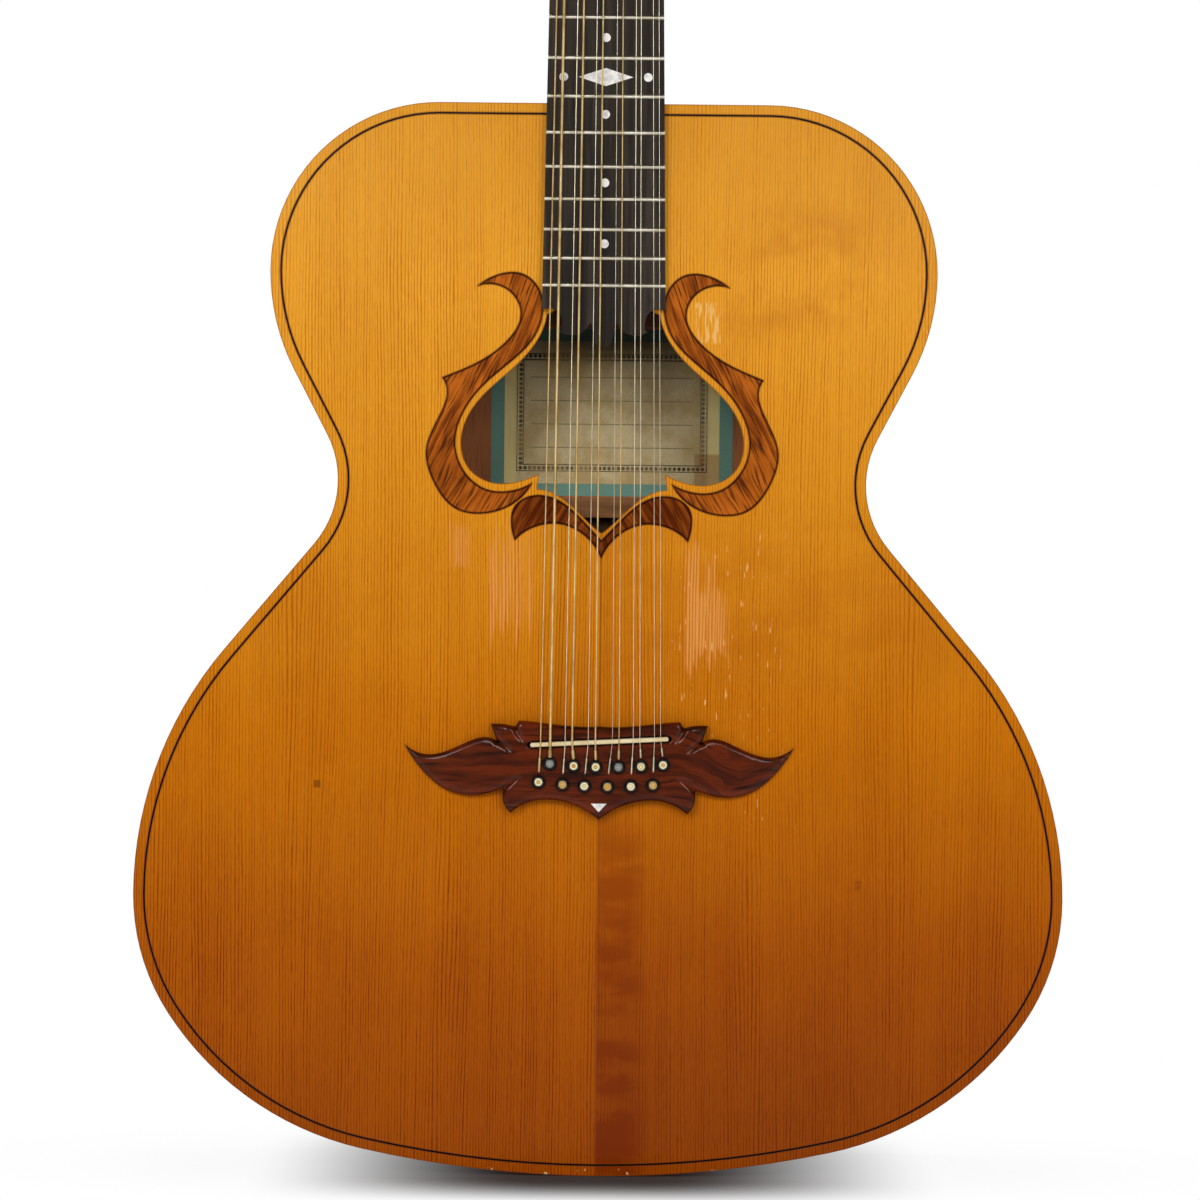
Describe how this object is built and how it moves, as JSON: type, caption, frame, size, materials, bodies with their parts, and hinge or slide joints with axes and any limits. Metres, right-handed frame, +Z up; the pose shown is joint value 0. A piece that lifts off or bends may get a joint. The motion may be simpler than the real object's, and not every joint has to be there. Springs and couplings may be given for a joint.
{
  "type": "twelve-string acoustic guitar",
  "caption": "Large flat-top acoustic guitar with paired strings, heart-shaped sound hole with scroll inlays, carved bridge, and geared tuning machines that turn.",
  "frame": {"origin": "middle of the tail of the body, at the mouth of the end pin's hole", "axes": "+Z up along the neck from the tail to the head, -Y out of the soundboard's front, +X to the right as the guitar faces the viewer"},
  "size_m": [0.4582, 0.1356, 1.0395],
  "materials": {
    "spruce_top": "satin amber varnish over vertical spruce grain",
    "rosewood": "polished dark reddish wood",
    "inlay_wood": "flush reddish brown wood under varnish",
    "body_wood": "gloss varnish over reddish brown wood",
    "neck_wood": "satin varnish over straight grain",
    "ebony": "oiled near black wood",
    "inner_spruce": "bare planed spruce",
    "inner_hardwood": "bare planed hardwood",
    "bone": "polished bone",
    "pearl": "polished shell",
    "pin_black": "polished black",
    "fret_metal": "worn nickel silver",
    "machine_metal": "nickel plate",
    "button_cream": "polished cream plastic",
    "bronze_wire": "bronze wrap wire",
    "steel_wire": "bright plain steel wire",
    "rod_steel": "plain steel",
    "nut_brass": "machined brass",
    "screw_metal": "nickel plate",
    "cover_black": "polished black plastic",
    "label_paper": "aged paper on a green card"
  },
  "bodies": {
    "root": {"soundboard_bass_half": "spruce_top", "soundboard_treble_half": "spruce_top", "back_bass_half": "body_wood", "back_treble_half": "body_wood", "side_bass": "body_wood", "side_treble": "body_wood", "tail_wedge": "rosewood", "neck_block": "inner_hardwood", "tail_block": "inner_hardwood", "top_linings": "inner_spruce", "back_linings": "inner_spruce", "top_braces": "inner_spruce", "bridge_plate": "inner_hardwood", "back_braces": "inner_spruce", "paper_label": "label_paper", "top_purfling": "ebony", "scroll_inlays": "inlay_wood", "bridge": "rosewood", "saddle": "bone", "bridge_pins": "pin_black", "bridge_pin_dots": "pearl", "pearl_inlays": "pearl", "neck": "neck_wood", "heel_cap": "ebony", "head_veneer": "ebony", "fretboard": "ebony", "frets": "fret_metal", "nut": "bone", "truss_rod": "rod_steel", "truss_rod_cover": "cover_black", "tuner_plates": "machine_metal", "tuner_bushings": "machine_metal", "wood_screws": "screw_metal", "wound_strings": "bronze_wire", "plain_strings": "steel_wire"},
    "key_1": {"tuner_key_1": "button_cream"},
    "post_1": {"tuner_post_1": "machine_metal"},
    "key_2": {"tuner_key_2": "button_cream"},
    "post_2": {"tuner_post_2": "machine_metal"},
    "key_3": {"tuner_key_3": "button_cream"},
    "post_3": {"tuner_post_3": "machine_metal"},
    "key_4": {"tuner_key_4": "button_cream"},
    "post_4": {"tuner_post_4": "machine_metal"},
    "key_5": {"tuner_key_5": "button_cream"},
    "post_5": {"tuner_post_5": "machine_metal"},
    "key_6": {"tuner_key_6": "button_cream"},
    "post_6": {"tuner_post_6": "machine_metal"},
    "key_7": {"tuner_key_7": "button_cream"},
    "post_7": {"tuner_post_7": "machine_metal"},
    "key_8": {"tuner_key_8": "button_cream"},
    "post_8": {"tuner_post_8": "machine_metal"},
    "key_9": {"tuner_key_9": "button_cream"},
    "post_9": {"tuner_post_9": "machine_metal"},
    "key_10": {"tuner_key_10": "button_cream"},
    "post_10": {"tuner_post_10": "machine_metal"},
    "key_11": {"tuner_key_11": "button_cream"},
    "post_11": {"tuner_post_11": "machine_metal"},
    "key_12": {"tuner_key_12": "button_cream"},
    "post_12": {"tuner_post_12": "machine_metal"},
    "rod_nut": {"truss_rod_nut": "nut_brass"}
  },
  "joints": [
    {"name": "key_1_turn", "type": "hinge", "parent": "root", "child": "key_1", "pos_m": [-0.024, -0.03379, 0.88251], "axis": [1, 0, 0], "continuous": true},
    {"name": "post_1_turn", "type": "hinge", "parent": "root", "child": "post_1", "pos_m": [-0.024, -0.05447, 0.8804], "axis": [0, -0.9703, 0.2419], "continuous": true},
    {"name": "key_2_turn", "type": "hinge", "parent": "root", "child": "key_2", "pos_m": [-0.024, -0.02726, 0.90871], "axis": [1, 0, 0], "continuous": true},
    {"name": "post_2_turn", "type": "hinge", "parent": "root", "child": "post_2", "pos_m": [-0.024, -0.04794, 0.9066], "axis": [0, -0.9703, 0.2419], "continuous": true},
    {"name": "key_3_turn", "type": "hinge", "parent": "root", "child": "key_3", "pos_m": [-0.024, -0.02073, 0.9349], "axis": [1, 0, 0], "continuous": true},
    {"name": "post_3_turn", "type": "hinge", "parent": "root", "child": "post_3", "pos_m": [-0.024, -0.0414, 0.93279], "axis": [0, -0.9703, 0.2419], "continuous": true},
    {"name": "key_4_turn", "type": "hinge", "parent": "root", "child": "key_4", "pos_m": [-0.024, -0.0142, 0.9611], "axis": [1, 0, 0], "continuous": true},
    {"name": "post_4_turn", "type": "hinge", "parent": "root", "child": "post_4", "pos_m": [-0.024, -0.03487, 0.95899], "axis": [0, -0.9703, 0.2419], "continuous": true},
    {"name": "key_5_turn", "type": "hinge", "parent": "root", "child": "key_5", "pos_m": [-0.024, -0.00767, 0.9873], "axis": [1, 0, 0], "continuous": true},
    {"name": "post_5_turn", "type": "hinge", "parent": "root", "child": "post_5", "pos_m": [-0.024, -0.02834, 0.98519], "axis": [0, -0.9703, 0.2419], "continuous": true},
    {"name": "key_6_turn", "type": "hinge", "parent": "root", "child": "key_6", "pos_m": [-0.024, -0.00113, 1.0135], "axis": [1, 0, 0], "continuous": true},
    {"name": "post_6_turn", "type": "hinge", "parent": "root", "child": "post_6", "pos_m": [-0.024, -0.02181, 1.01139], "axis": [0, -0.9703, 0.2419], "continuous": true},
    {"name": "key_7_turn", "type": "hinge", "parent": "root", "child": "key_7", "pos_m": [0.024, -0.00113, 1.0135], "axis": [1, 0, 0], "continuous": true},
    {"name": "post_7_turn", "type": "hinge", "parent": "root", "child": "post_7", "pos_m": [0.024, -0.02181, 1.01139], "axis": [0, -0.9703, 0.2419], "continuous": true},
    {"name": "key_8_turn", "type": "hinge", "parent": "root", "child": "key_8", "pos_m": [0.024, -0.00767, 0.9873], "axis": [1, 0, 0], "continuous": true},
    {"name": "post_8_turn", "type": "hinge", "parent": "root", "child": "post_8", "pos_m": [0.024, -0.02834, 0.98519], "axis": [0, -0.9703, 0.2419], "continuous": true},
    {"name": "key_9_turn", "type": "hinge", "parent": "root", "child": "key_9", "pos_m": [0.024, -0.0142, 0.9611], "axis": [1, 0, 0], "continuous": true},
    {"name": "post_9_turn", "type": "hinge", "parent": "root", "child": "post_9", "pos_m": [0.024, -0.03487, 0.95899], "axis": [0, -0.9703, 0.2419], "continuous": true},
    {"name": "key_10_turn", "type": "hinge", "parent": "root", "child": "key_10", "pos_m": [0.024, -0.02073, 0.9349], "axis": [1, 0, 0], "continuous": true},
    {"name": "post_10_turn", "type": "hinge", "parent": "root", "child": "post_10", "pos_m": [0.024, -0.0414, 0.93279], "axis": [0, -0.9703, 0.2419], "continuous": true},
    {"name": "key_11_turn", "type": "hinge", "parent": "root", "child": "key_11", "pos_m": [0.024, -0.02726, 0.90871], "axis": [1, 0, 0], "continuous": true},
    {"name": "post_11_turn", "type": "hinge", "parent": "root", "child": "post_11", "pos_m": [0.024, -0.04794, 0.9066], "axis": [0, -0.9703, 0.2419], "continuous": true},
    {"name": "key_12_turn", "type": "hinge", "parent": "root", "child": "key_12", "pos_m": [0.024, -0.03379, 0.88251], "axis": [1, 0, 0], "continuous": true},
    {"name": "post_12_turn", "type": "hinge", "parent": "root", "child": "post_12", "pos_m": [0.024, -0.05447, 0.8804], "axis": [0, -0.9703, 0.2419], "continuous": true},
    {"name": "rod_nut_turn", "type": "hinge", "parent": "root", "child": "rod_nut", "pos_m": [0, -0.0545, 0.8617], "axis": [0, 0, 1], "range_deg": [-180, 180]}
  ],
  "couplings": [
    {"joint": "post_1_turn", "follows": "key_1_turn", "ratio": 0.071429},
    {"joint": "post_2_turn", "follows": "key_2_turn", "ratio": 0.071429},
    {"joint": "post_3_turn", "follows": "key_3_turn", "ratio": 0.071429},
    {"joint": "post_4_turn", "follows": "key_4_turn", "ratio": 0.071429},
    {"joint": "post_5_turn", "follows": "key_5_turn", "ratio": 0.071429},
    {"joint": "post_6_turn", "follows": "key_6_turn", "ratio": 0.071429},
    {"joint": "post_7_turn", "follows": "key_7_turn", "ratio": -0.071429},
    {"joint": "post_8_turn", "follows": "key_8_turn", "ratio": -0.071429},
    {"joint": "post_9_turn", "follows": "key_9_turn", "ratio": -0.071429},
    {"joint": "post_10_turn", "follows": "key_10_turn", "ratio": -0.071429},
    {"joint": "post_11_turn", "follows": "key_11_turn", "ratio": -0.071429},
    {"joint": "post_12_turn", "follows": "key_12_turn", "ratio": -0.071429}
  ]
}
